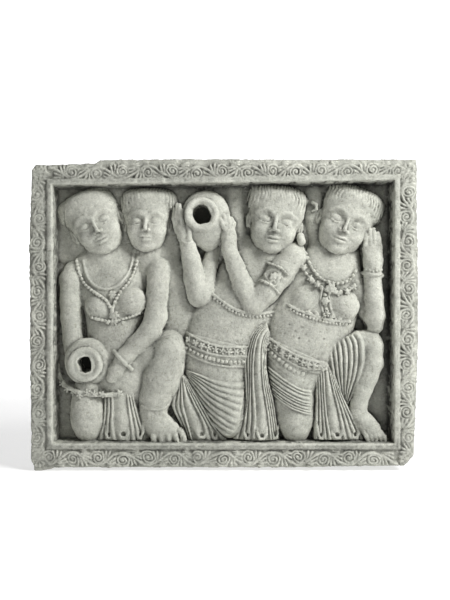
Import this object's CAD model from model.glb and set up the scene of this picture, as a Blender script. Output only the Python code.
import math

import bpy
import numpy as np
import openvdb
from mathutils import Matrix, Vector


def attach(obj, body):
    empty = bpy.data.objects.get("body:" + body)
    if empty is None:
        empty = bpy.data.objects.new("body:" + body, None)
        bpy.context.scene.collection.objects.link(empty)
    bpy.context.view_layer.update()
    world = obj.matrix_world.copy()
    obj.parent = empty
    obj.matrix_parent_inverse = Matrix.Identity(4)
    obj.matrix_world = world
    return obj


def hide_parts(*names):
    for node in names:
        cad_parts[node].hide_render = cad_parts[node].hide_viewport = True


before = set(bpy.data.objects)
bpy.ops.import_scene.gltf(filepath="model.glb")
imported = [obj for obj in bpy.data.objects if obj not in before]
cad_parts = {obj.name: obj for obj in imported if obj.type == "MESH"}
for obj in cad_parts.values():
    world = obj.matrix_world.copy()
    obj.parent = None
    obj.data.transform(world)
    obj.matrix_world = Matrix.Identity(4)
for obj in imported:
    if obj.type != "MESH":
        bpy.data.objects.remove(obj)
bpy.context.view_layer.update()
scene = bpy.context.scene

# The camera stands square in front of the panel, a little over two metres away and level with its middle,
# so that the panel fills most of the picture's width.
camera = bpy.data.objects.new("camera", bpy.data.cameras.new("camera"))
scene.collection.objects.link(camera)
camera.location = (0.005, -2.262, 0.433)
camera.rotation_euler = (math.radians(90), 0, 0)
camera.data.sensor_width = 36
camera.data.lens = 51.3
scene.camera = camera

# The block: one piece of pale volcanic stone, 100 cm wide, 12 cm thick and 79 cm high, sawn flat behind. It
# is carved in millimetres here, as distances to its surface: x runs across, out runs from the floor of the
# sunk field towards the viewer, and z runs up.
STEP = 1.6
FIELD_Y = 15.0
RELIEF = 75.0
THICK = 120.0
FAR = 60.0


def blend(a, b, soft):
    near = np.maximum(soft - np.abs(a - b), 0) / soft
    return np.minimum(a, b) - near * near * soft * 0.25


class Carving:
    """A space that is filled with stone form by form."""

    def __init__(self, low, high):
        self.start = [math.floor(v / STEP) for v in low]
        self.axes = [
            np.arange(s, math.ceil(v / STEP) + 1, dtype=np.float32) * STEP for s, v in zip(self.start, high)
        ]
        self.d = np.full([len(a) for a in self.axes], FAR, np.float32)

    def window(self, low, high, margin):
        parts = []
        for axis, a, b in zip(self.axes, low, high):
            i = int(np.clip(np.searchsorted(axis, a - margin), 0, len(axis)))
            j = int(np.clip(np.searchsorted(axis, b + margin), 0, len(axis)))
            parts.append(slice(i, j))
        x, o, z = (axis[part] for axis, part in zip(self.axes, parts))
        return tuple(parts), x[:, None, None], o[None, :, None], z[None, None, :]

    def put(self, part, d, soft, cut=False):
        if d.size == 0:
            return
        if cut:
            self.d[part] = -blend(-self.d[part], d, soft)
        else:
            self.d[part] = blend(self.d[part], d, soft)

    def form(self, rings, soft=8, cut=False, knit=None):
        """A rounded body through rings (x, out, z, half width, half depth)."""
        rings = [list(r) + [r[3]] * (5 - len(r)) for r in rings]
        knit = knit or 0.22 * max(r[3] for r in rings)
        whole = None
        c = np.array(rings, float)
        reach = c[:, 3:5].max()
        part, x, o, z = self.window(c[:, :3].min(0), c[:, :3].max(0), reach + soft + 2)
        for a, b in zip(rings, rings[1:] if len(rings) > 1 else rings):
            step = np.array(b[:3]) - np.array(a[:3])
            px, po, pz = x - a[0], o - a[1], z - a[2]
            t = np.clip((px * step[0] + po * step[1] + pz * step[2]) / max(step @ step, 1e-6), 0, 1)
            r = a[3] + (b[3] - a[3]) * t
            flat = r / (a[4] + (b[4] - a[4]) * t)
            qx, qo, qz = px - t * step[0], (po - t * step[1]) * flat, pz - t * step[2]
            e = np.sqrt(qx**2 + qo**2 + qz**2) + 1e-3
            g = np.sqrt(qx**2 + (qo * flat) ** 2 + qz**2) + 1e-3
            d = (e - r) * e / g
            whole = d if whole is None else blend(whole, d, knit)
        self.put(part, whole, soft, cut)

    def lump(self, centre, size, lean=0.0, soft=6, cut=False, power=2.0):
        """A rounded mass, turned clockwise by its lean in degrees; a higher power makes it squarer."""
        reach = math.hypot(size[0], size[2]) if power > 2 else max(size[0], size[2])
        cx, co, cz = centre
        part, x, o, z = self.window(
            (cx - reach, co - size[1], cz - reach), (cx + reach, co + size[1], cz + reach), soft + 2
        )
        turn = math.radians(lean)
        u = np.abs((x - cx) * math.cos(turn) - (z - cz) * math.sin(turn)) / size[0] + 1e-4
        w = np.abs((x - cx) * math.sin(turn) + (z - cz) * math.cos(turn)) / size[2] + 1e-4
        v = np.abs(o - co) / size[1] + 1e-4
        k = (u**power + v**power + w**power) ** (1 / power)
        steps = [(away ** (power - 1) / half) ** 2 for away, half in zip((u, v, w), size)]
        slope = np.sqrt(steps[0] + steps[1] + steps[2]) / k ** (power - 1)
        self.put(part, (k - 1) / slope, soft, cut)

    def front(self):
        """How far out the surface lies at each (x, z)."""
        inside = self.d < 0
        n = inside.shape[1]
        last = n - 1 - np.argmax(inside[:, ::-1, :], axis=1)
        last = np.where(inside.any(axis=1), last, 0)
        nxt = np.minimum(last + 1, n - 1)
        a = np.take_along_axis(self.d, last[:, None, :], 1)[:, 0, :]
        b = np.take_along_axis(self.d, nxt[:, None, :], 1)[:, 0, :]
        t = np.clip(a / np.minimum(a - b, -1e-3), 0, 1)
        return self.axes[1][0] + (last + t) * STEP

    def fit(self, other, soft):
        """Sets another carving into this one."""
        mine, theirs = self.shared(other)
        self.d[mine] = blend(self.d[mine], other.d[theirs], soft)

    def shared(self, other):
        mine, theirs = [], []
        for s, n, t, m in zip(self.start, self.d.shape, other.start, other.d.shape):
            low, high = max(s, t), min(s + n, t + m)
            mine.append(slice(low - s, high - s))
            theirs.append(slice(low - t, high - t))
        return tuple(mine), tuple(theirs)


# Its outline was squared with a point chisel: edges waver, the upper left corner is a finger's breadth
# lower and broken off, and a lump is left under the lower left corner. The field is sunk 75 mm into it.
def largest(first, *others):
    for other in others:
        first = np.maximum(first, other)
    return first


def patches(shape, size, seed):
    """Soft random patches between -1 and 1 over a grid, about size samples across."""
    dice = np.random.default_rng(seed)
    coarse = dice.uniform(-1, 1, [int(n / size) + 4 for n in shape]).astype(np.float32)
    for axis, n in enumerate(shape):
        where = np.arange(n) / size + 0.5
        low = where.astype(int)
        t = (where - low).astype(np.float32)
        t = t * t * (3 - 2 * t)
        t = t.reshape([-1 if k == axis else 1 for k in range(len(shape))])
        coarse = np.take(coarse, low, axis) * (1 - t) + np.take(coarse, low + 1, axis) * t
    return coarse


stone = Carving((-514, -50, -14), (514, 80, 806))
sx, so, sz = stone.axes
x2, z2 = sx[:, None], sz[None, :]
left_side = np.interp(
    sz, [0, 25, 90, 300, 420, 560, 640, 765], [-489, -497, -496, -500, -500, -502, -499, -495]
)
right_side = np.interp(sz, [0, 24, 170, 310, 530, 548, 620, 793], [485, 493, 499, 505, 505, 506, 502, 502])
top_side = np.interp(sx, [-500, -486, -330, -318, -100, 200, 497], [772, 782, 787, 796, 798, 797, 797])
low_side = np.interp(sx, [-500, -486, -470, -448, -436, 200, 260, 470, 500], [2, -8, -9, -5, 0, 0, 2, 5, 8])
waver = [patches(side.shape, 14 / STEP, 20 + i) * 1.2 for i, side in enumerate((sz, sz, sx))]
edge = largest(
    (left_side + np.abs(waver[0]))[None, :] - x2, x2 - (right_side - np.abs(waver[1]))[None, :],
    z2 - (top_side - np.abs(waver[2]))[:, None], low_side[:, None] - z2,
    (-(x2 + 500) + (z2 - 764) * 0.9) * 0.74, ((x2 - 486) - (z2 - 26) * 0.85) * 0.76,
).astype(np.float32)
ceiling = np.interp(sx, [-438, 440], [728, 740])[:, None]
field = largest(-438 - x2, x2 - 440, 65 - z2, z2 - ceiling).astype(np.float32)
block = np.maximum(edge[:, None, :], np.abs(so - FIELD_Y)[None, :, None] - THICK / 2)
wall = field[:, None, :] + 0.03 * (-so[None, :, None])
stone.d = -blend(-block, np.maximum(wall, -so[None, :, None]), 5)

# The leaf band: a waving stem runs all the way round between the outer edge and a plain fillet, 8 mm deep.
# In each of its bends a veined leaf curls into a volute, to one side and the other, and a combed fan fills
# the corner beside it.
def blur(image, times):
    for _ in range(times):
        for axis in (0, 1):
            image = np.moveaxis(image, axis, 0).copy()
            padded = np.concatenate([image[:1], image, image[-1:]])
            image = (padded[:-2] + 2 * padded[1:-1] + padded[2:]) * 0.25
            image = np.moveaxis(image, 0, axis)
    return image


def fan(r, ray, long, tips, thick, rib):
    """A fan of six ribs at distance r from its root; ray counts the ribs round it."""
    comb = np.cos(2 * math.pi * ray)
    leaf = (thick + rib * comb) * np.clip((long + tips * comb - r) / 2.5, 0, 1) * np.clip(r / 6, 0, 1)
    return leaf * ((ray > -0.5) & (ray < 5.5))


def scroll_side(image, begin, end, count, half_band=26, swing=15):
    length = math.dist(begin, end)
    ax, az = (end[0] - begin[0]) / length, (end[1] - begin[1]) / length
    u, v = (x2 - begin[0]) * ax + (z2 - begin[1]) * az, (z2 - begin[1]) * ax - (x2 - begin[0]) * az
    u, v = u + 4.5 * patches(u.shape, 36 / STEP, 40), v + 2.2 * patches(u.shape, 30 / STEP, 41)
    reach = np.abs(v) < half_band
    pitch = length / count
    wave = swing * np.cos(math.pi * u / pitch)
    slope = swing * math.pi / pitch * np.sin(math.pi * u / pitch)
    stem = 7.2 * np.clip(1 - ((v + wave) / np.sqrt(1 + slope**2) / 4.4) ** 2, 0, 1)
    stem *= reach & (u > 0) & (u < length)
    np.maximum(image, stem, out=image)
    for n in range(count):
        side = -1 if n % 2 else 1
        cu, cv = (n + 0.02) * pitch, 2.5 * side
        near = reach & (np.abs(u - cu) < pitch * 0.75)
        p, q = (u - cu)[near], ((v - cv) * side)[near]
        r, a = np.hypot(p, q), np.arctan2(q, p)
        coil = np.cos(2 * math.pi * (r / 7.4 - a / (2 * math.pi)))
        volute = (4.6 + 2.9 * coil) * np.clip((19.5 - r) / 2.5, 0, 1)
        eye = 7.6 * np.clip(1 - (r / 4.6) ** 2, 0, 1)
        p, q = p - pitch * 0.30, q + 17
        r, b = np.hypot(p, q), np.degrees(np.arctan2(q, p))
        leaf = fan(r, (b - 8) / 19.5, 33, 4, 4.6, 2.4)
        p, q = p + pitch * 0.62, q - 34
        r, b = np.hypot(p, q), np.degrees(np.arctan2(-q, -p))
        spray = fan(r, (b + 60) / 21, 21, 3, 4.2, 2.2)
        image[near] = largest(image[near], volute, eye, leaf, spray)


scroll = np.zeros((len(sx), len(sz)), np.float32)
scroll_side(scroll, (-453, 24), (452, 24), 14)
scroll_side(scroll, (476, 14), (476, 777), 12)
scroll_side(scroll, (452, 767), (-453, 761), 14)
scroll_side(scroll, (-477, 771), (-477, 14), 12)
for cx, cz in ((-476, 22), (474, 22), (478, 768), (-474, 762)):
    r, a = np.hypot(x2 - cx, z2 - cz), np.arctan2(z2 - cz, x2 - cx)
    leaf = (4.8 + 2.4 * np.cos(9 * a)) * np.clip((22 - r) / 2.5, 0, 1)
    scroll = largest(scroll, leaf, 8 * np.clip(1 - (r / 7) ** 2, 0, 1))
band = np.clip((field - 14) / 6, 0, 1)
uneven = 1 + 0.4 * patches(scroll.shape, 26 / STEP, 5)
deepest = 8.5
sunk = (deepest - np.clip(blur(scroll, 1) * uneven, 0, deepest)) * band
worn = patches(scroll.shape, 8 / STEP, 3) * 0.5 + patches(scroll.shape, 30 / STEP, 4) * 0.6
rough = patches(scroll.shape, 4.5 / STEP, 6) + patches(scroll.shape, 11 / STEP, 7)
chipped = np.clip(worn + 0.1, 0, 1) * 2.6 + np.clip(rough * 0.9 + 0.5, 0, 2)
sunk += chipped * (field > 1) * (0.8 + 0.2 * band)
worn_left = np.clip((-x2 - 425) / 15, 0, 1) * np.clip(patches(scroll.shape, 60 / STEP, 8) + 0.55, 0, 1)
sunk = sunk * (1 - 0.45 * worn_left) + 2.0 * worn_left * band
steep = np.hypot(*np.gradient(sunk, STEP))
level = (1 / np.sqrt(1 + np.minimum(steep, 2) ** 2)).astype(np.float32)
lowered = (so[None, :, None] + (sunk - RELIEF).astype(np.float32)[:, None, :]) * level[:, None, :]
stone.d = -blend(-stone.d, -lowered, 1.5)
del block, wall, lowered


# A woman's head, cut four times from the same block: one calm, even face with lowered lids, and a close cap
# of hair that stands a little proud of the brow and is combed down in short strands.
def head(body, place, lean, size=1.0, face_at=(0, 0), wide=79, hair_at=0, comb=2.6, high=96, merge=12,
         broad=1.07):
    x, out, z = place
    turn = math.radians(lean)
    cos, sin = math.cos(turn), math.sin(turn)

    def spot(u, o, w):
        return (x + u * cos + w * sin, out + o, z - u * sin + w * cos)

    def on_face(u, o, w):
        return spot(u * size * broad + face_at[0], o, w * size + face_at[1])

    def lump(u, o, w, half, tilt=0.0, soft=6, cut=False):
        face.lump(on_face(u, o, w), (half[0] * size * broad, half[1], half[2] * size), lean + tilt, soft, cut)

    def line(points, half, soft=2.5, cut=False):
        face.form([(*on_face(*p[:3]), p[3] if len(p) > 3 else half) for p in points], soft, cut, knit=1)

    face = Carving((x - 112, -8, z - 112), (x + 112, 78, z + 112))
    # the skull, the jaw and the chin
    lump(0, 0, 12, (62, 49, 66), soft=1)
    lump(0, 4, -42, (49, 41, 45), soft=22)
    lump(0, 27, -70, (19, 15, 14), soft=14)
    # on each side a cheek, an ear, the eye in its socket, and the brow and lids
    for side in (-1, 1):
        lump(side * 29, 26, -29, (20, 19, 21), soft=12)
        lump(side * 61, 0, -12, (7, 11, 19), side * 6, soft=5)
        lump(side * 64, 9, -12, (3.5, 5, 12), side * 6, soft=2, cut=True)
        lump(side * 24, 52, 0, (17, 14, 12.5), side * -6, soft=8, cut=True)
        lump(side * 25, 33.5, -4, (15, 13, 10.5), side * -4, soft=2)
        line([(side * 8, 45.5, 15), (side * 18, 46, 20.5), (side * 31, 43, 20), (side * 46, 33, 10)], 2.6, 7)
        line([(side * 11, 41.5, -9), (side * 18, 45.5, -13), (side * 27, 45.5, -14), (side * 38, 39, -9)],
             1.9, 1.5)
        line([(side * 10, 44.5, -6), (side * 18, 48.5, -8.5), (side * 28, 48, -9), (side * 39, 40, -6)],
             1.1, 1, cut=True)
        line([(side * 11, 45, 2), (side * 17, 47.5, 6.5), (side * 28, 47, 7.5), (side * 39, 40, 2)],
             1.3, 2, cut=True)
    # the nose with its wings and nostrils
    line([(0, 43, 16, 4.5), (0, 49, -2, 4.2), (0, 55, -19, 5), (0, 57, -26, 6)], 7, 4)
    for side in (-1, 1):
        lump(side * 8, 48, -28, (5, 6.5, 4.6), soft=4)
        lump(side * 4, 57.5, -32.5, (2.3, 3, 1.7), soft=1, cut=True)
    # the lips, the line between them, and the dip above the chin
    line([(0, 50.5, -35), (0, 50.5, -40)], 2.0, 3, cut=True)
    line([(-18, 42, -46, 1.8), (-8, 46.5, -44.5, 3.6), (0, 46.8, -46, 3.4), (8, 46.5, -44.5, 3.6),
          (18, 42, -46, 1.8)], 3, 2.5)
    line([(-14, 42, -52.5, 2.4), (-5, 46, -55.5, 4.2), (5, 46, -55.5, 4.2), (14, 42, -52.5, 2.4)], 4, 2.5)
    line([(-21, 43, -46), (-10, 50, -49.5), (0, 51, -50.5), (10, 50, -49.5), (21, 43, -46)],
         1.3, 1.5, cut=True)
    lump(0, 51, -64, (13, 5, 4), soft=5, cut=True)

    # the cap of hair, its hairline, and the grooves between the strands
    hair = Carving((x - 112, -8, z - 112), (x + 112, 78, z + 112))
    hx, hz = hair.axes[0][:, None] - x, hair.axes[2][None, :] - z
    u, w = hx * cos - hz * sin, hx * sin + hz * cos
    aside = hair_at * np.clip(w / 40, 0, 1)
    rise = np.where(w > 50, (w - 50) / (high - 50), (50 - w) / 52)
    rim = (np.abs((u - aside) / wide) ** 3 + np.abs(rise) ** 3) ** (1 / 3)
    deep = 49 - merge * 0.2
    v = (hair.axes[1][None, :, None] + 2 - out) / deep
    k = np.sqrt(rim[:, None, :] ** 2 + v**2) + 1e-4
    hair.d = (k - 1) / (np.sqrt((rim[:, None, :] / 56) ** 2 + (v / deep) ** 2) / k)
    jitter = patches(u.shape, 16 / STEP, 31 + int(abs(x)))
    hairline = 46 - 40 * np.abs((u - hair_at * 0.4) / 74) ** 3 + 3 * patches(u.shape, 9 / STEP, 30)
    hair.d = -blend(-hair.d, (w - hairline)[:, None, :] + 0 * hair.d, merge + 6)
    tier = np.tanh((w - 70 - 6 * jitter) / 2)
    strand = u * (1 + (w - 60) * 0.001) + 1.7 * tier + 3.6 * jitter
    ridge = np.abs(np.cos(strand * math.pi / 8.2)) ** 0.8
    groove = comb * (1 - ridge) * (1 + 0.8 * patches(u.shape, 12 / STEP, 32))
    hair.d += (groove * np.clip((w - hairline - 2) / 9, 0, 1))[:, None, :]
    face.d = blend(face.d, hair.d, merge)
    body.fit(face, 3)


# The woman who looks over another's shoulder, second from the left. Only her head, neck and back are cut, in
# low relief on a part of the ground that is left higher.
behind = Carving((-446, -10, 300), (-40, 78, 770))
# the higher ground, then her neck and breast, and her shoulder and back
behind.lump((-262, -8, 640), (200, 22, 120), soft=10, power=5)
behind.form([(-198, 6, 600, 32, 26), (-194, 4, 540, 36, 24), (-180, -2, 500, 60, 22)])
behind.form([
    (-150, -4, 540, 44, 24), (-126, -2, 480, 62, 30), (-122, -2, 400, 58, 30), (-122, -6, 330, 50, 26),
])
head(behind, (-196, 14, 642), 0, 0.96, (-5, 0), 75, comb=1.8, high=88, merge=18, broad=1)
stone.fit(behind, 4)

# The woman on the left, in high relief: she kneels on one knee and holds a jar against her lap. Her chains,
# cloth and bangle stand a few millimetres proud of the body that they were cut from.
def smooth_curve(points, spacing=4.0):
    """Points close together on a smooth curve through the given ones."""
    p = np.asarray(points, float)
    if len(p) > 2:
        q = np.vstack([2 * p[0] - p[1], p, 2 * p[-1] - p[-2]])
        out = []
        for i in range(1, len(q) - 2):
            a, b, c, d = q[i - 1], q[i], q[i + 1], q[i + 2]
            n = max(2, int(np.linalg.norm(c[:2] - b[:2]) / spacing) + 1)
            t = np.linspace(0, 1, n, endpoint=False)[:, None]
            out.append(0.5 * (2 * b + (c - a) * t + (2 * a - 5 * b + 4 * c - d) * t**2
                              + (3 * b - a - 3 * c + d) * t**3))
        return np.vstack(out + [p[-1:]])
    n = max(2, int(np.linalg.norm(p[1] - p[0]) / spacing) + 1)
    return p[0] + (p[1] - p[0]) * np.linspace(0, 1, n)[:, None]


def level_at(body, points, even=0):
    """The surface's level at points (x, z), evened out along them."""
    front = body.front()
    p = np.asarray(points, float)
    i = np.clip((p[:, 0] - body.axes[0][0]) / STEP, 0, front.shape[0] - 1.01)
    k = np.clip((p[:, 1] - body.axes[2][0]) / STEP, 0, front.shape[1] - 1.01)
    i0, k0 = i.astype(int), k.astype(int)
    fi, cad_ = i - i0, k - k0
    level = (
        front[i0, k0] * (1 - fi) * (1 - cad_)
        + front[i0 + 1, k0] * fi * (1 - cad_)
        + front[i0, k0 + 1] * (1 - fi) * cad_
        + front[i0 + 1, k0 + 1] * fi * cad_
    )
    for _ in range(even):
        level = np.convolve(np.concatenate([level[:1], level, level[-1:]]), [0.25, 0.5, 0.25], "valid")
    return level


def cord(body, points, half, lift=0.0, even=3):
    """A line of cloth or metal laid on the surface along (x, z) points."""
    p = smooth_curve(points)
    outs = level_at(body, p, even) + lift
    rings = [(x, o, z, half) for (x, z), o in zip(p[:, :2], outs)]
    body.form(rings, 2.5, knit=0.5)


def beads(body, points, size, gap, lift=0.0):
    p = smooth_curve(points, 1.0)
    run = np.concatenate([[0], np.cumsum(np.linalg.norm(np.diff(p, axis=0), axis=1))])
    n = max(1, int(round(run[-1] / gap)))
    at = (np.arange(n) + 0.5) / n * run[-1]
    spots = np.stack([np.interp(at, run, p[:, 0]), np.interp(at, run, p[:, 1])], 1)
    for (x, z), o in zip(spots, level_at(body, spots)):
        body.lump((x, o + lift, z), (size, size * 0.85, size), soft=1)


def flower(body, x, z, size, petals=6, lift=0.0, turn=0.0):
    o = float(level_at(body, [(x, z)])[0]) + lift
    for i in range(petals):
        a = turn + i * 2 * math.pi / petals
        spot = (x + math.cos(a) * size * 0.62, o, z + math.sin(a) * size * 0.62)
        body.lump(spot, (size * 0.42, size * 0.34, size * 0.3), -math.degrees(a), soft=1)
    body.lump((x, o + size * 0.12, z), (size * 0.34,) * 3, soft=1)


def cloth(body, edges, folds, height, thick=3.0, fade=(0.06, 0.02)):
    """Cloth between edge curves listed from left to right, each from its upper end to its lower one. With
    points (x, z) it clings to the surface; with (x, out, z) it hangs as a sheet of its own. The folds run
    along the curves; their relative widths are listed from left to right."""
    sheet = len(edges[0][0]) == 3
    shape = (len(body.axes[0]), len(body.axes[2]))
    s = np.linspace(0, 1, 300)
    curves = []
    for e in edges:
        c = smooth_curve(e, 3.0)
        run = np.linspace(0, 1, len(c))
        curves.append(np.stack([np.interp(s, run, c[:, k]) for k in range(c.shape[1])], 1))
    stack = np.array(curves)
    t = np.linspace(0, 1, 90 * len(edges))
    where = t * (len(edges) - 1)
    low = np.minimum(where.astype(int), len(edges) - 2)
    f = (where - low)[:, None, None]
    points = stack[low] * (1 - f) + stack[low + 1] * f
    wide = np.array([1] * folds if isinstance(folds, int) else folds, float)
    ends = np.concatenate([[0], np.cumsum(wide)]) / wide.sum()
    i = np.rint((points[..., 0] - body.axes[0][0]) / STEP).astype(int)
    k = np.rint((points[..., -1] - body.axes[2][0]) / STEP).astype(int)
    ok = (i >= 0) & (i < shape[0]) & (k >= 0) & (k < shape[1])
    across, along = np.broadcast_to(t[:, None], ok.shape), np.broadcast_to(s[None, :], ok.shape)
    fields = []
    for value in (np.ones(ok.shape), across, along, points[..., 1]):
        total = np.zeros(shape, np.float32)
        np.add.at(total, (i[ok], k[ok]), value[ok])
        fields.append(total)
    fields = np.array(fields)
    for _ in range(6):
        near = sum(np.roll(fields, (p, q), (1, 2)) for p in (-1, 0, 1) for q in (-1, 0, 1))
        fields = np.where(fields[:1] > 0, fields, near)
    count, across, along, level = fields
    across, along, level = (blur(f / np.maximum(count, 1e-6), 1) for f in (across, along, level))
    which = np.clip(np.searchsorted(ends, across, "right") - 1, 0, len(wide) - 1)
    phase = (across - ends[which]) / (ends[which + 1] - ends[which])
    rise = np.sin(math.pi * phase) ** 1.3 * height
    rise = rise * np.clip(along / max(fade[0], 1e-3), 0, 1) * np.clip((1 - along) / max(fade[1], 1e-3), 0, 1)
    rise = rise + thick
    rim = np.vstack([stack[0], stack[:, -1][1:], stack[-1][::-1], stack[:, 0][::-1][1:]])[::6, [0, -1]]
    x, z = body.axes[0][:, None], body.axes[2][None, :]
    apart, inside = np.full(shape, 1e9, np.float32), np.zeros(shape, bool)
    for (ax, az), (bx, bz) in zip(rim, np.roll(rim, -1, 0)):
        ex, ez = bx - ax, bz - az
        u = np.clip(((x - ax) * ex + (z - az) * ez) / max(ex * ex + ez * ez, 1e-6), 0, 1)
        apart = np.minimum(apart, np.hypot(x - ax - u * ex, z - az - u * ez))
        if az != bz:
            inside ^= ((az > z) != (bz > z)) & (x < ax + (z - az) * (bx - ax) / (bz - az))
    apart = np.where(inside, -apart, apart)
    if not sheet:
        body.d = body.d - (rise * np.clip(0.5 - apart / STEP, 0, 1))[:, None, :]
        return
    image = np.where(count > 0, level + rise, 0)
    slope = np.hypot(*np.gradient(image, STEP))
    steep = np.sqrt(1 + np.minimum(slope, 1.5) ** 2)
    d = (body.axes[1][None, :, None] - image[:, None, :]) / steep[:, None, :]
    d = -blend(-d, -apart[:, None, :] + 0 * d, 4)
    body.d = blend(body.d, d, 3)


def hem_loops(body, loops):
    """Loops (x, out, z, half width) in which a fold turns back at the hem, each round a small hole."""
    for x, out, z, wide in loops:
        body.lump((x, out + 5, z + 1), (wide * 0.5, 10, 9), soft=3, cut=True)
        body.form([
            (x - wide, out - 1, z + 26, 2.6), (x - wide * 0.9, out + 1, z + 6, 3.4),
            (x - wide * 0.4, out + 2, z - 6, 3.8), (x + wide * 0.4, out + 2, z - 6, 3.8),
            (x + wide * 0.9, out + 1, z + 6, 3.4), (x + wide, out - 1, z + 26, 2.6),
        ], 3, knit=1)


left = Carving((-446, -10, 58), (-84, 78, 760))
# neck, shoulders, trunk and breasts
left.form([(-336, 8, 600, 31, 26), (-314, 8, 545, 35, 28), (-306, 2, 500, 56, 28)], 12)
left.form([(-330, 4, 556, 24, 22), (-368, 6, 532, 22, 22), (-396, 8, 508, 24, 22)], 14)
left.form([(-286, 4, 552, 24, 22), (-236, 6, 532, 24, 22)], 14)
left.form([
    (-300, -2, 545, 66, 22), (-304, 0, 505, 88, 32), (-288, 4, 440, 84, 40), (-291, 3, 380, 68, 38),
    (-289, 2, 335, 65, 36), (-280, 4, 285, 70, 40), (-270, 4, 225, 74, 44), (-270, 2, 190, 68, 36),
])
left.lump((-326, 32, 416), (36, 28, 34), soft=10)
left.lump((-240, 34, 430), (39, 30, 38), soft=10)
# her right upper arm, and her lap
left.form([(-399, 10, 510, 24, 20), (-403, 16, 488, 29, 27), (-403, 18, 430, 27), (-401, 18, 385, 27),
           (-398, 16, 330, 26), (-394, 12, 290, 25)], 8)
left.form([(-262, 8, 262, 38), (-200, 10, 286, 40), (-170, 10, 292, 40)], 12)
# chains and a flower clasp
chain = [(-386, 540), (-378, 505), (-364, 476), (-334, 452), (-304, 432), (-288, 402)]
cord(left, chain, 3.4, 0.5)
beads(left, chain, 4.4, 10, 2)
cord(left, [
    (-368, 536), (-358, 500), (-340, 474), (-312, 462), (-284, 466), (-258, 488), (-243, 520), (-236, 560),
], 3.6, 0.8)
chain = [(-222, 560), (-230, 520), (-246, 482), (-268, 454), (-284, 424), (-290, 400)]
cord(left, chain, 3.4, 0.5)
beads(left, chain[:-1], 4.2, 10, 2)
chain = [(-346, 388), (-318, 381), (-288, 378), (-250, 386), (-206, 404)]
cord(left, chain, 3.6, 0.6)
beads(left, chain, 3.8, 9, 2.2)
flower(left, -288, 446, 12, 6, 2)
flower(left, -285, 392, 13, 7, 2)
for n in range(3):
    flower(left, -300 + n * 18, 376, 7, 5, 1)
# the knee that she kneels on, and the end of her skirt beside it
left.form([
    (-356, 18, 196, 38, 36), (-357, 22, 150, 43, 42), (-357, 22, 116, 43, 42), (-357, 20, 92, 34, 36),
], 6)
cloth(left, [
    [(-312, 34, 190), (-313, 34, 150), (-317, 32, 110), (-332, 26, 64)],
    [(-286, 46, 190), (-285, 47, 150), (-286, 47, 110), (-279, 45, 66)],
    [(-252, 46, 190), (-246, 47, 140), (-241, 47, 100), (-240, 46, 66)],
    [(-236, 34, 190), (-220, 34, 130), (-208, 32, 95), (-194, 26, 64)],
], [1, 1, 1, 2.6, 1, 1, 1], 6.5, 0)
hem_loops(left, ((-260, 46, 80, 15), (-298, 40, 78, 9), (-218, 41, 78, 9)))
# her raised knee, the shin, the foot and its toes, with a ring of skin at the ankle
left.form([(-140, 14, 324, 34), (-142, 20, 300, 46), (-150, 22, 262, 48), (-163, 22, 222, 50, 48),
           (-178, 20, 178, 42, 42), (-185, 18, 145, 34, 34), (-186, 18, 122, 32, 32)], 5)
left.form([(-184, 20, 118, 32, 34), (-168, 28, 102, 36, 30), (-150, 34, 86, 38, 22)], 10)
for n in range(5):
    toe, rise = -182 + n * 17.5, 96 - 2 * abs(n - 2)
    left.form([(toe, 42, rise, 8.5), (toe + 1 + n * 1.4, 50, 80, 8), (toe + 2 + n * 2, 50, 70, 7.5)],
              2, knit=2)
cord(left, [(-212, 158), (-190, 149), (-160, 150), (-142, 160)], 2.4, 0)
# her left arm comes down across her lap, with a bangle and three fingers on the jar
left.form([(-222, 4, 566, 18, 16), (-190, 8, 545, 24, 20), (-168, 14, 516, 32, 28)], 14)
left.form([(-168, 18, 508, 34, 32), (-172, 28, 450, 29), (-176, 34, 388, 29),
           (-190, 38, 352, 29, 27), (-226, 44, 315, 26, 24), (-256, 48, 284, 23, 21), (-278, 50, 250, 18, 16),
           (-290, 52, 230, 13, 11)], 5)
cord(left, [(-284, 300), (-262, 279), (-238, 252)], 5, 1, even=1)
for n in range(3):
    left.form([(-266 - n * 8, 50, 240 + n * 9, 7), (-280 - n * 7, 49, 228 + n * 11, 6),
               (-290 - n * 5, 44, 219 + n * 12, 4.5)], 5, knit=2)
# the leafy branch under the jar
left.form([(-438, 14, 262, 5), (-432, 20, 232, 6), (-414, 32, 208, 6), (-382, 50, 194, 6),
           (-345, 58, 188, 6), (-305, 52, 186, 6), (-262, 46, 188, 5)], 4)
for n, (lx, lz) in enumerate(((-422, 214), (-408, 200), (-392, 190), (-352, 194), (-334, 190), (-314, 188),
                              (-372, 186), (-270, 190), (-438, 236))):
    flower(left, lx, lz, 10, 5, 2, n)
head(left, (-345, 15, 635), -25, 1.04, (8, -2), 77, comb=0.8, high=88, merge=30, broad=1.04)
stone.fit(left, 4)

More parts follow.
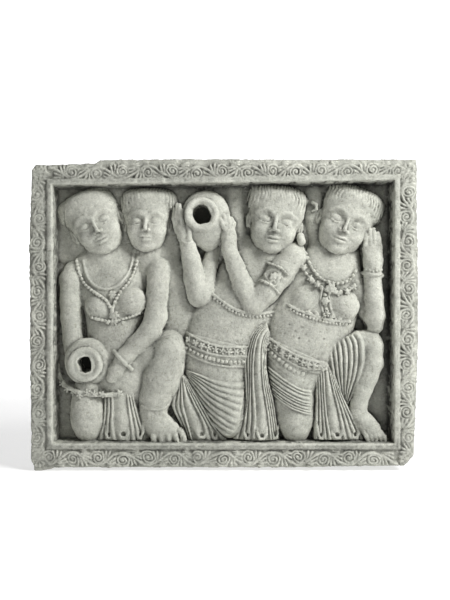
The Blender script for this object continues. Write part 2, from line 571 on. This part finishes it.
# Her jar is as round as it is wide, cut from the same block, with a raised lip. A rough hole, a little askew,
# is drilled deep into its mouth.
def jar(x, out, z, half, high, mouth, hole, taper):
    pot = Carving((x - 84, -8, z - 100), (x + 84, 78, z + 90))
    pot.lump((x, out, z), (half, 36, high), soft=1, power=2.2)
    if taper:
        pot.form([(x, out - 4, z - 20, half * 0.8, 36), (x + 8, out - 8, z - 66, 18, 20)], 20)
    mx, mz = mouth
    round_lip = np.linspace(0, 2 * math.pi, 33)
    lip = [(mx + 37 * math.cos(a), out + 33, mz + 37 * math.sin(a), 8) for a in round_lip]
    pot.form([(mx, out + 18, mz, 42, 24)], 4)
    pot.form(lip, 5, knit=1)
    w, h = hole
    px, pz = pot.axes[0][:, None, None] - mx, pot.axes[2][None, None, :] - mz
    turn = math.radians(18)
    u = px * math.cos(turn) + pz * math.sin(turn)
    v = pz * math.cos(turn) - px * math.sin(turn)
    rough = patches(pot.d.shape, 8 / STEP, int(abs(x))) * 2
    bore = ((np.abs(u) / w) ** 2.8 + (np.abs(v) / h) ** 2.8) ** (1 / 2.8) * min(w, h) - min(w, h) + rough
    stone.fit(pot, 2)
    deep = np.maximum(bore, 2 - pot.axes[1][None, :, None])
    mine, theirs = stone.shared(pot)
    stone.d[mine] = -blend(-stone.d[mine], deep[theirs], 3)


jar(-354, 32, 272, 61, 62, (-357, 266), (17, 21), False)

# The woman who lifts the second jar in both hands, in high relief. A belt of flowers holds her skirt, and its
# end is gathered in a long sash that hangs from the next woman's hip.
lifter = Carving((-150, -10, 58), (250, 78, 770))
# the raised ground beside her, her neck, and her trunk down to the knees
lifter.form([(30, -4, 740, 22, 14), (30, -4, 640, 28, 16), (40, -4, 580, 30, 18)], 14)
lifter.form([(128, 8, 600, 31, 26), (118, 8, 550, 33, 28), (104, 0, 508, 54, 26)])
lifter.form([
    (92, -4, 548, 66, 22), (84, -2, 500, 92, 34), (56, 2, 440, 90, 40), (34, 4, 400, 92, 40),
    (18, 6, 365, 102, 44), (2, 6, 320, 98, 46), (-10, 6, 280, 92, 48), (-14, 4, 240, 84, 46),
])
lifter.form([(-20, 8, 272, 78, 50), (-6, 14, 215, 68, 50), (8, 20, 160, 52, 46), (15, 22, 120, 38, 40),
             (18, 22, 98, 28, 34)], 12)
# the band under her breasts, and the belt of flowers
cord(lifter, [(-26, 447), (0, 428), (28, 410), (60, 400), (100, 398), (134, 402)], 4.2, 0.8)
beads(lifter, [(-26, 439), (0, 420), (28, 402), (60, 392), (100, 390), (130, 394)], 4, 9.5, 1.5)
cloth(lifter, [
    [(-104, 350), (-104, 298)], [(-52, 326), (-52, 276)], [(0, 311), (0, 262)], [(62, 310), (62, 258)],
], 1, 0, 2.5)
cord(lifter, [(-104, 352), (-52, 326), (0, 312), (62, 311)], 3.2, 0.8)
cord(lifter, [(-104, 324), (-52, 300), (0, 288), (62, 287)], 2.6, 0.6)
cord(lifter, [(-104, 299), (-52, 276), (0, 262), (62, 259)], 3.0, 0.6)
for n in range(9):
    t = (n + 0.5) / 9
    fx = -98 + 156 * t
    fz = np.interp(fx, [-104, -52, 0, 62], [337, 313, 300, 299])
    flower(lifter, fx, fz, 9.5, 5, 2, n)
beads(lifter, [(-100, 310), (-52, 287), (0, 274), (58, 272)], 4.6, 11, 2)
# the skirt drawn across her thighs, and its end that falls to the ledge
cloth(lifter, [
    [(-112, 236), (-96, 196), (-64, 138), (-6, 84), (20, 70)],
    [(-106, 240), (-78, 204), (-42, 160), (8, 122), (40, 104)],
    [(-102, 244), (-66, 222), (-22, 190), (30, 168), (58, 160)],
    [(-98, 250), (-60, 240), (-16, 226), (30, 220), (62, 222)],
], 9, 5, 1.0, fade=(0.1, 0.12))
cloth(lifter, [
    [(-112, 22, 236), (-126, 22, 195), (-137, 22, 163), (-130, 22, 137), (-110, 20, 99), (-96, 16, 62)],
    [(-107, 32, 236), (-106, 36, 210), (-103, 38, 163), (-94, 37, 124), (-85, 34, 86), (-80, 32, 64)],
    [(-103, 33, 236), (-98, 38, 210), (-78, 41, 163), (-59, 41, 124), (-49, 39, 86), (-46, 38, 64)],
    [(-99, 30, 236), (-82, 38, 205), (-56, 42, 163), (-22, 41, 105), (0, 37, 80), (10, 34, 64)],
], [1, 1, 1, 2.8, 1, 1, 1], 7, 0)
# her right arm under the jar, the hand and its fingers
lifter.form([(-26, 6, 566, 17), (-38, 16, 520, 22), (-52, 26, 460, 30, 28), (-58, 28, 446, 31, 28)], 4)
lifter.form([(-64, 32, 444, 30, 28), (-74, 36, 490, 29), (-84, 38, 540, 24), (-92, 40, 574, 20)], 5)
lifter.form([
    (-91, 40, 572, 19), (-102, 42, 602, 18, 15), (-106, 40, 622, 16, 14), (-108, 32, 650, 12, 12),
], 6)
for n, (fx, ft) in enumerate(((-108, 668), (-114, 682), (-121, 684), (-128, 672))):
    lifter.form([(-100 - n * 6.5, 48 - n * 3, 612, 7), (fx - 1, 49 - n * 4, (618 + ft) / 2, 6.4),
                 (fx + 1, 44 - n * 4, ft, 4.8)], 1.5, knit=2)
lifter.form([(-88, 52, 592, 8), (-88, 54, 612, 7), (-92, 52, 634, 5.5)], 3)
cord(lifter, [(-112, 588), (-94, 580), (-74, 588)], 2.6, 1, even=1)
# her left arm, the hand on the jar, and an armlet
lifter.form([(196, 6, 578, 18, 16), (184, 20, 548, 36, 32), (150, 28, 504, 37, 34), (112, 36, 456, 34, 32),
             (78, 40, 420, 30, 28)], 5)
lifter.form([(74, 42, 424, 29, 27), (52, 44, 470, 27, 25), (32, 46, 520, 23, 22), (18, 47, 560, 20, 19)], 5)
lifter.form([(16, 47, 566, 20, 18), (15, 46, 600, 20, 16), (12, 44, 628, 16, 12)], 5)
for n, (fx, fz) in enumerate(((-6, 646), (4, 654), (14, 654), (24, 646))):
    lifter.form([(8 + n * 5, 52 - n * 3, 612, 7), (fx + 4, 56 - n * 3, 632, 6.5),
                 (fx - 2, 54 - n * 3, fz, 5)], 1.5, knit=2)
for a, b in (((116, 530), (168, 498)), ((98, 484), (146, 448))):
    ring = [a, ((a[0] + b[0]) / 2 + 4, (a[1] + b[1]) / 2 + 4), b]
    cord(lifter, ring, 3, 1)
    beads(lifter, ring, 3.4, 8, 2.5)
flower(lifter, 134, 490, 15, 8, 1)
cord(lifter, [(150, 506), (134, 470), (108, 500), (134, 512), (156, 488)], 2, 0.5)
head(lifter, (138, 15, 643), 11, 1.05, (0, 0), 79, -4)
# the sash
cloth(lifter, [
    [(114, 34, 374), (92, 42, 364), (72, 44, 340), (60, 45, 300), (54, 45, 262), (58, 44, 200), (58, 42, 150),
     (45, 38, 110), (24, 30, 64)],
    [(118, 46, 366), (101, 56, 354), (88, 60, 332), (81, 61, 300), (78, 60, 262), (79, 60, 215),
     (82, 59, 180), (85, 57, 130), (82, 50, 66)],
    [(120, 46, 354), (110, 56, 342), (103, 60, 325), (100, 61, 298), (100, 60, 262), (103, 60, 215),
     (109, 59, 180), (117, 56, 130), (124, 50, 66)],
    [(124, 34, 342), (120, 42, 330), (116, 45, 312), (113, 46, 292), (113, 46, 262), (122, 44, 210),
     (133, 41, 165), (141, 35, 115), (148, 28, 64)],
], [1, 1, 1, 1, 3.2, 1, 1, 1, 1], 7, 0, fade=(0.02, 0.02))
hem_loops(lifter, (
    (-56, 40, 80, 13), (-22, 38, 78, 9), (101, 56, 78, 13), (64, 46, 78, 9), (136, 40, 78, 8),
))
stone.fit(lifter, 4)
jar(-46, 26, 646, 64, 74, (-56, 655), (23, 26), True)

# The woman on the right, in high relief: her head leans on her raised hand, and the elbow stands on her
# raised knee. Two strings of beads and a pendant hang from her neck, and cloth is wound round her hips.
right = Carving((100, -10, 58), (446, 78, 770))
# the raised ground beside her, then neck, trunk, breasts, navel and chips in the stone
right.form([(238, -4, 740, 22, 14), (244, -4, 660, 30, 18), (262, -4, 590, 34, 20)], 14)
right.form([(322, 8, 600, 30, 26), (306, 8, 548, 32, 28), (292, 2, 508, 52, 26)])
right.form([
    (294, -4, 556, 60, 22), (286, 0, 515, 84, 34), (272, 3, 465, 92, 40), (258, 4, 425, 96, 40),
    (240, 5, 390, 104, 44), (228, 6, 358, 107, 50), (214, 6, 315, 100, 52), (205, 6, 280, 92, 52),
    (200, 4, 250, 78, 50),
])
right.lump((216, 32, 430), (39, 31, 38), soft=10)
right.lump((318, 34, 418), (40, 31, 39), soft=10)
right.lump((236, 54, 330), (4, 4, 5), soft=3, cut=True)
for px, pz in ((172, 369), (186, 352), (204, 362), (214, 344), (196, 334), (222, 326), (252, 350), (262, 332),
               (160, 346)):
    right.lump((px, float(level_at(right, [(px, pz)])[0]) + 1, pz), (3.4, 3.6, 3), soft=2.5, cut=True)
# the two strings of beads, the flowers under them, and the pendant
bead = 5.4
inner = [(216, 574), (224, 536), (240, 504), (264, 484), (300, 476), (330, 486), (350, 512)]
outer = [(200, 574), (206, 530), (222, 494), (248, 470), (276, 458), (304, 454), (334, 464), (356, 486)]
cord(right, inner, 3.2, 0.6)
cord(right, outer, 2.6, 0.4)
beads(right, inner, bead * 0.8, bead * 2.3, 2.2)
beads(right, outer, bead, bead * 2.5, 2.0)
for px, pz in ((212, 520), (226, 490), (244, 474), (300, 452), (322, 456), (342, 468)):
    flower(right, px, pz, 9, 5, 3, px)
cord(right, [(258, 466), (254, 440), (256, 414), (264, 386)], 3, 0.6)
cord(right, [(274, 460), (276, 432), (280, 408), (292, 384)], 3, 0.6)
beads(right, [(265, 452), (264, 424), (272, 390)], 5, 12, 2.5)
flower(right, 280, 462, 15, 7, 3)
flower(right, 264, 430, 11, 6, 3)
flower(right, 268, 398, 10, 6, 3)
# the band under her breasts
cord(right, [(172, 420), (200, 404), (240, 391), (268, 383), (300, 378), (330, 378)], 3.8, 0.8)
beads(right, [(172, 411), (200, 396), (240, 383), (268, 376), (300, 371), (326, 371)], 3.8, 9, 1.5)
for n in range(5):
    flower(right, 222 + n * 20, 400 - n * 4, 7, 5, 2)
# the belt of flowers
cloth(right, [
    [(108, 340), (110, 296)], [(156, 308), (158, 256)], [(206, 284), (208, 226)], [(268, 268), (258, 240)],
], 1, 0, 2.5)
cord(right, [(110, 342), (156, 308), (206, 284), (268, 268)], 3.4, 0.8)
cord(right, [(110, 320), (156, 284), (206, 257), (262, 254)], 2.6, 0.6)
cord(right, [(110, 296), (156, 256), (186, 236), (214, 220)], 3.0, 0.6)
for n in range(9):
    t = (n + 0.5) / 9
    fx = 114 + 146 * t
    flower(right, fx, float(np.interp(fx, [110, 156, 206, 268], [331, 296, 270, 261])), 9.5, 5, 2, n)
beads(right, [(114, 308), (156, 270), (186, 250), (212, 240)], 4.8, 11.5, 2)
# the knee that she kneels on, with cloth wound round it
right.form([(176, 10, 258, 60, 50), (182, 14, 215, 58, 50), (187, 18, 165, 53, 48), (190, 20, 122, 47, 46),
            (191, 20, 94, 38, 40)], 12)
cloth(right, [
    [(124, 190), (146, 172), (176, 152), (206, 140), (232, 132)],
    [(116, 222), (140, 204), (170, 184), (204, 168), (232, 162)],
    [(110, 268), (134, 248), (164, 226), (200, 206), (234, 198)],
], [1, 1, 1.6, 1, 1, 1.6, 1, 1], 5, 1.0, fade=(0.1, 0.12))
# her raised knee, draped, then the shin, the foot and its toes
right.form([(260, 6, 282, 40, 38), (318, 14, 302, 38, 36), (368, 24, 318, 34, 32), (386, 28, 320, 31, 30)], 6)
cloth(right, [
    [(276, 36, 312), (274, 48, 290), (280, 46, 255), (292, 36, 215), (306, 26, 182), (316, 18, 152)],
    [(298, 40, 332), (303, 56, 300), (306, 52, 260), (310, 42, 222), (315, 28, 186), (320, 19, 152)],
    [(326, 42, 344), (336, 60, 315), (338, 58, 270), (334, 47, 230), (327, 32, 190), (323, 20, 152)],
    [(352, 42, 354), (366, 60, 330), (370, 58, 285), (364, 46, 240), (346, 30, 192), (326, 20, 152)],
], [1, 1, 1, 1, 1, 1, 1.4], 8, 0)
right.form([
    (388, 26, 330, 26), (391, 30, 312, 30), (392, 32, 268, 28), (380, 32, 230, 26), (367, 30, 198, 25),
    (357, 28, 160, 22), (354, 26, 134, 22),
], 4)
right.form([(354, 24, 136, 23, 22), (370, 30, 114, 25, 20), (388, 34, 94, 26, 16)], 8)
for n in range(5):
    right.form([(368 + n * 11, 40, 92 - n, 7), (374 + n * 11.5, 46, 78, 6.5), (377 + n * 11.5, 45, 70, 6)],
               2, knit=2)
# the end of her skirt, which falls between her knees
cloth(right, [
    [(238, 40, 262), (242, 42, 205), (240, 42, 150), (237, 38, 64)],
    [(262, 52, 258), (264, 54, 205), (268, 54, 140), (281, 51, 68)],
    [(274, 52, 258), (285, 54, 205), (301, 53, 140), (314, 49, 68)],
    [(286, 40, 262), (304, 40, 205), (334, 36, 140), (376, 26, 64)],
], [1, 1, 1, 1, 3.2, 1, 1, 1, 1], 7, 0)
hem_loops(right, ((297, 52, 80, 14), (256, 47, 78, 9), (346, 36, 78, 10)))
flower(right, 262, 262, 13, 7, 2)
# her arm, the elbow on the knee, the bangle, the hand and its fingers
right.form([(338, 6, 528, 22), (354, 12, 470, 25), (380, 16, 410, 25), (394, 20, 385, 24)], 5)
right.form([
    (399, 32, 366, 22), (398, 34, 392, 27), (394, 36, 440, 26), (391, 38, 500, 22), (393, 36, 535, 26, 22),
    (392, 34, 560, 26, 16),
], 4)
cord(right, [(366, 504), (392, 498), (420, 504)], 4.2, 1.5, even=1)
beads(right, [(368, 513), (392, 508), (418, 513)], 3.4, 8, 1.5)
right.lump((415, 40, 497), (7, 7, 7), soft=2)
for n, (fx, ft) in enumerate(((374, 606), (384, 618), (395, 618), (406, 608))):
    right.form([(372 + n * 13, 36, 566, 7.5), (fx + 1, 40, 592, 7), (fx, 36, ft, 5.5)], 1.5, knit=2)
head(right, (332, 15, 640), 22, 1.07, (-8, -3), 80, -3)
# earrings
right.form([(236, 20, 690, 4), (246, 24, 684, 4), (246, 24, 672, 4), (236, 20, 668, 4)], 2, knit=2)
right.form([(203, 34, 600, 10, 12), (206, 36, 586, 11, 12)], 3)
stone.fit(right, 4)

# The stone is coarse and full of small pores, so no carved face is quite flat, and the weather has worn the
# corners round. Only the sawn back is even.
size3 = (len(sx), len(so), len(sz))
not_back = np.clip((so + 46) / 6, 0, 1)[None, :, None]
for size, rise, seed in ((22, 0.8, 11), (9, 0.55, 12), (4.5, 0.6, 13)):
    worn_face = patches(size3, size / STEP, seed)
    worn_face *= rise * not_back
    stone.d += worn_face
pores = np.clip(patches(size3, 5.5 / STEP, 14) - 0.62, 0, 1)
pores *= 5 * not_back
stone.d += pores
del worn_face, pores

# the finished surface
TRIANGLES = 190000
skin = 4 * STEP
vdb = openvdb.FloatGrid(background=skin)
vdb.copyFromArray(np.ascontiguousarray(np.clip(stone.d, -skin, skin)), tolerance=0.0)
points, quads = vdb.convertToQuads(isovalue=0.0)
points = points * STEP + np.array([s * STEP for s in stone.start])
mesh = bpy.data.meshes.new("relief_panel")
verts = np.stack([points[:, 0], FIELD_Y - points[:, 1], points[:, 2]], 1) / 1000
mesh.vertices.add(len(verts))
mesh.vertices.foreach_set("co", verts.astype(np.float32).ravel())
mesh.loops.add(len(quads) * 4)
mesh.loops.foreach_set("vertex_index", quads.astype(np.int32).ravel())
mesh.polygons.add(len(quads))
mesh.polygons.foreach_set("loop_start", np.arange(len(quads), dtype=np.int32) * 4)
mesh.update(calc_edges=True)
mesh.validate()
panel = bpy.data.objects.new("relief_panel", mesh)
scene.collection.objects.link(panel)

shrink = panel.modifiers.new("shrink", "DECIMATE")
shrink.ratio = min(1.0, TRIANGLES / (len(quads) * 2))
depsgraph = bpy.context.evaluated_depsgraph_get()
carved = bpy.data.meshes.new_from_object(panel.evaluated_get(depsgraph))
panel.modifiers.clear()
panel.data = carved
bpy.data.meshes.remove(mesh)
carved.validate()
carved.shade_smooth()

# Dust and lichen lie in the hollows of the stone and its ridges are rubbed pale, so the colour follows how
# far each spot lies below what is round it: below 0 on a ridge, about 1 in a hollow, 2 in a drilled hole.
front = stone.front()
narrow, broad = blur(front, 4) - front, blur(front, 70) - front
to_foot = np.clip((z2 - 58) / 40, 0.2, 1)
to_left = np.clip((x2 + 560) / 700, 0.35, 1)
hollow = np.clip(narrow * 0.42, -1, 1) + np.clip(broad * 0.07, -0.6, 0.9) * to_foot * to_left
border = 0.34 + 0.2 * patches(hollow.shape, 40 / STEP, 15) + 0.12 * (z2 < 66) * (z2 > 49)
hollow += border * np.clip(field / 6, 0, 1)
ledge = 0.24 + 0.26 * patches(hollow.shape, 11 / STEP, 16)
hollow += (0.12 - 0.3 * np.clip((z2 - 400) / 90, 0, 1)) * (field < 0) + ledge * (field > 1) * (field < 15)
HOLE, UNDERCUT, SIDES = 2.0, 0.35, 0.3
for mx, mz, w, h in ((-357, 266, 20, 24), (-56, 655, 26, 29)):
    hollow = np.where((((x2 - mx) / w) ** 2 + ((z2 - mz) / h) ** 2 < 1) & (front < 40), HOLE, hollow)
co = np.empty(len(carved.vertices) * 3, np.float32)
carved.vertices.foreach_get("co", co)
co = co.reshape(-1, 3) * 1000
i = np.clip(np.rint((co[:, 0] - sx[0]) / STEP).astype(int), 0, len(sx) - 1)
k = np.clip(np.rint((co[:, 2] - sz[0]) / STEP).astype(int), 0, len(sz) - 1)
out = FIELD_Y - co[:, 1]
value = np.where((front[i, k] - out > 6) & (hollow[i, k] < 0.95 * HOLE), UNDERCUT, hollow[i, k])
value = np.where((edge[i, k] > -4) | (out < -20), SIDES, value)
carved.attributes.new("hollow", "FLOAT", "POINT").data.foreach_set("value", value.astype(np.float32))

stone_look = bpy.data.materials.new("stone")
stone_look.use_nodes = True
nodes, links = stone_look.node_tree.nodes, stone_look.node_tree.links
shader = nodes["Principled BSDF"]
shader.inputs["Roughness"].default_value = 0.92
shader.inputs["Specular IOR Level"].default_value = 0.25
place = nodes.new("ShaderNodeTexCoord")


def noise(scale, detail, rough):
    node = nodes.new("ShaderNodeTexNoise")
    node.inputs["Scale"].default_value = scale
    node.inputs["Detail"].default_value = detail
    node.inputs["Roughness"].default_value = rough
    links.new(place.outputs["Object"], node.inputs["Vector"])
    return node.outputs["Fac"]


def ramp(value, stops):
    node = nodes.new("ShaderNodeValToRGB")
    while len(node.color_ramp.elements) < len(stops):
        node.color_ramp.elements.new(0.5)
    for element, (at, colour) in zip(node.color_ramp.elements, stops):
        element.position = at
        element.color = (*colour, 1) if isinstance(colour, tuple) else (colour, colour, colour, 1)
    links.new(value, node.inputs["Fac"])
    return node.outputs["Color"]


def mix(kind, amount, a, b):
    node = nodes.new("ShaderNodeMix")
    node.data_type = "RGBA"
    node.blend_type = kind
    if isinstance(amount, float):
        node.inputs["Factor"].default_value = amount
    else:
        links.new(amount, node.inputs["Factor"])
    for socket, value in ((node.inputs[6], a), (node.inputs[7], b)):
        if isinstance(value, tuple):
            socket.default_value = (*value, 1)
        else:
            links.new(value, socket)
    return node.outputs[2]


cloud = ramp(noise(7, 4, 0.6), [(0.35, (0.405, 0.412, 0.363)), (0.65, (0.47, 0.473, 0.419))])
grain = ramp(noise(300, 3, 0.75), [(0.3, 0.8), (0.5, 1.0), (0.72, 1.14)])
coarse = ramp(noise(70, 4, 0.7), [(0.3, 0.84), (0.52, 1.0), (0.75, 1.1)])
stain = ramp(noise(17, 4, 0.65), [(0.36, 0.86), (0.5, 1.0), (0.66, 1.09)])
tone = mix("MULTIPLY", 1.0, mix("MULTIPLY", 1.0, mix("MULTIPLY", 1.0, cloud, stain), grain), coarse)
pit = ramp(noise(170, 2, 0.5), [(0.60, 0.0), (0.69, 1.0)])
tone = mix("MIX", pit, tone, mix("MULTIPLY", 1.0, tone, (0.84, 0.84, 0.80)))
speck = ramp(noise(225, 2, 0.5), [(0.62, 0.0), (0.70, 1.0)])
tone = mix("MIX", speck, tone, mix("MULTIPLY", 1.0, tone, (1.16, 1.16, 1.14)))
lie = nodes.new("ShaderNodeAttribute")
lie.attribute_name = "hollow"
lie_map = nodes.new("ShaderNodeMapRange")
lie_map.inputs["From Min"].default_value = -1
lie_map.inputs["From Max"].default_value = 2
links.new(lie.outputs["Fac"], lie_map.inputs["Value"])
depth = ramp(lie_map.outputs["Result"], [(0.08, 1.25), (0.333, 1.0), (0.63, 0.52), (0.95, 0.16)])
tone = mix("MULTIPLY", 1.0, tone, depth)
links.new(tone, shader.inputs["Base Color"])
bump = nodes.new("ShaderNodeBump")
bump.inputs["Strength"].default_value = 1.0
bump.inputs["Distance"].default_value = 0.0014
rough = mix("SUBTRACT", 0.35, mix("ADD", 1.0, noise(330, 4, 0.7), noise(120, 3, 0.6)), pit)
links.new(rough, bump.inputs["Height"])
links.new(bump.outputs["Normal"], shader.inputs["Normal"])
carved.materials.append(stone_look)

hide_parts("relief_panel")
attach(panel, "root")

# White paper lies under the panel and stands far round it, and shines a little so that it stays white in the
# picture. One soft lamp hangs high on the right, as a window would.
FLOOR = -0.009
FAR_WALL, HIGH = 6.5, 6
rows = [(-FAR_WALL, HIGH, 0.1), (-FAR_WALL, FLOOR, 0.1), (-2.0, FLOOR, 0.1), (-1.1, FLOOR, 0.55),
        (1.4, FLOOR, 0.62), (3, FLOOR, 0.95), (6, FLOOR, 0.97), (FAR_WALL, 0.5, 0.97), (FAR_WALL, HIGH, 0.97)]
columns = [(-FAR_WALL, 0.3), (-3, 1), (3, 1), (FAR_WALL, 0.3)]
corners = [(x, y, z) for y, z, _ in rows for x, _ in columns]
glow = [g * f for _, _, g in rows for _, f in columns]
starts = [r * 4 + c for r in range(len(rows) - 1) for c in range(3)]
sheets = [(n, n + 1, n + 5, n + 4) for n in starts]
for side in (-FAR_WALL, FAR_WALL):
    sheets.append(tuple(range(len(corners), len(corners) + 4)))
    corners += [
        (side, -FAR_WALL, FLOOR), (side, FAR_WALL, FLOOR), (side, FAR_WALL, HIGH), (side, -FAR_WALL, HIGH),
    ]
    glow += [0.06, 0.2, 0.2, 0.06]
room = bpy.data.meshes.new("room")
room.from_pydata(corners, [], sheets)
room.attributes.new("glow", "FLOAT", "POINT").data.foreach_set("value", glow)
backdrop = bpy.data.objects.new("room", room)
scene.collection.objects.link(backdrop)
white = bpy.data.materials.new("white paper")
white.use_nodes = True
paper = white.node_tree.nodes["Principled BSDF"]
paper.inputs["Base Color"].default_value = (0.6, 0.6, 0.6, 1)
paper.inputs["Roughness"].default_value = 1
paper.inputs["Emission Color"].default_value = (1, 1, 1, 1)
shine = white.node_tree.nodes.new("ShaderNodeAttribute")
shine.attribute_name = "glow"
white.node_tree.links.new(shine.outputs["Fac"], paper.inputs["Emission Strength"])
room.materials.append(white)

window = bpy.data.lights.new("window", "AREA")
window.shape = "RECTANGLE"
window.size = window.size_y = 1.1
window.energy = 112
lamp = bpy.data.objects.new("window", window)
scene.collection.objects.link(lamp)
lamp.location = (1.95, -1.6, 2.2)
lamp.rotation_euler = (Vector((0, 0, 0.4)) - lamp.location).to_track_quat("-Z", "Y").to_euler()
world = bpy.data.worlds.new("room")
world.use_nodes = True
world.node_tree.nodes["Background"].inputs["Color"].default_value = (1, 1, 1, 1)
world.node_tree.nodes["Background"].inputs["Strength"].default_value = 0.05
scene.world = world
scene.view_settings.view_transform = "Standard"
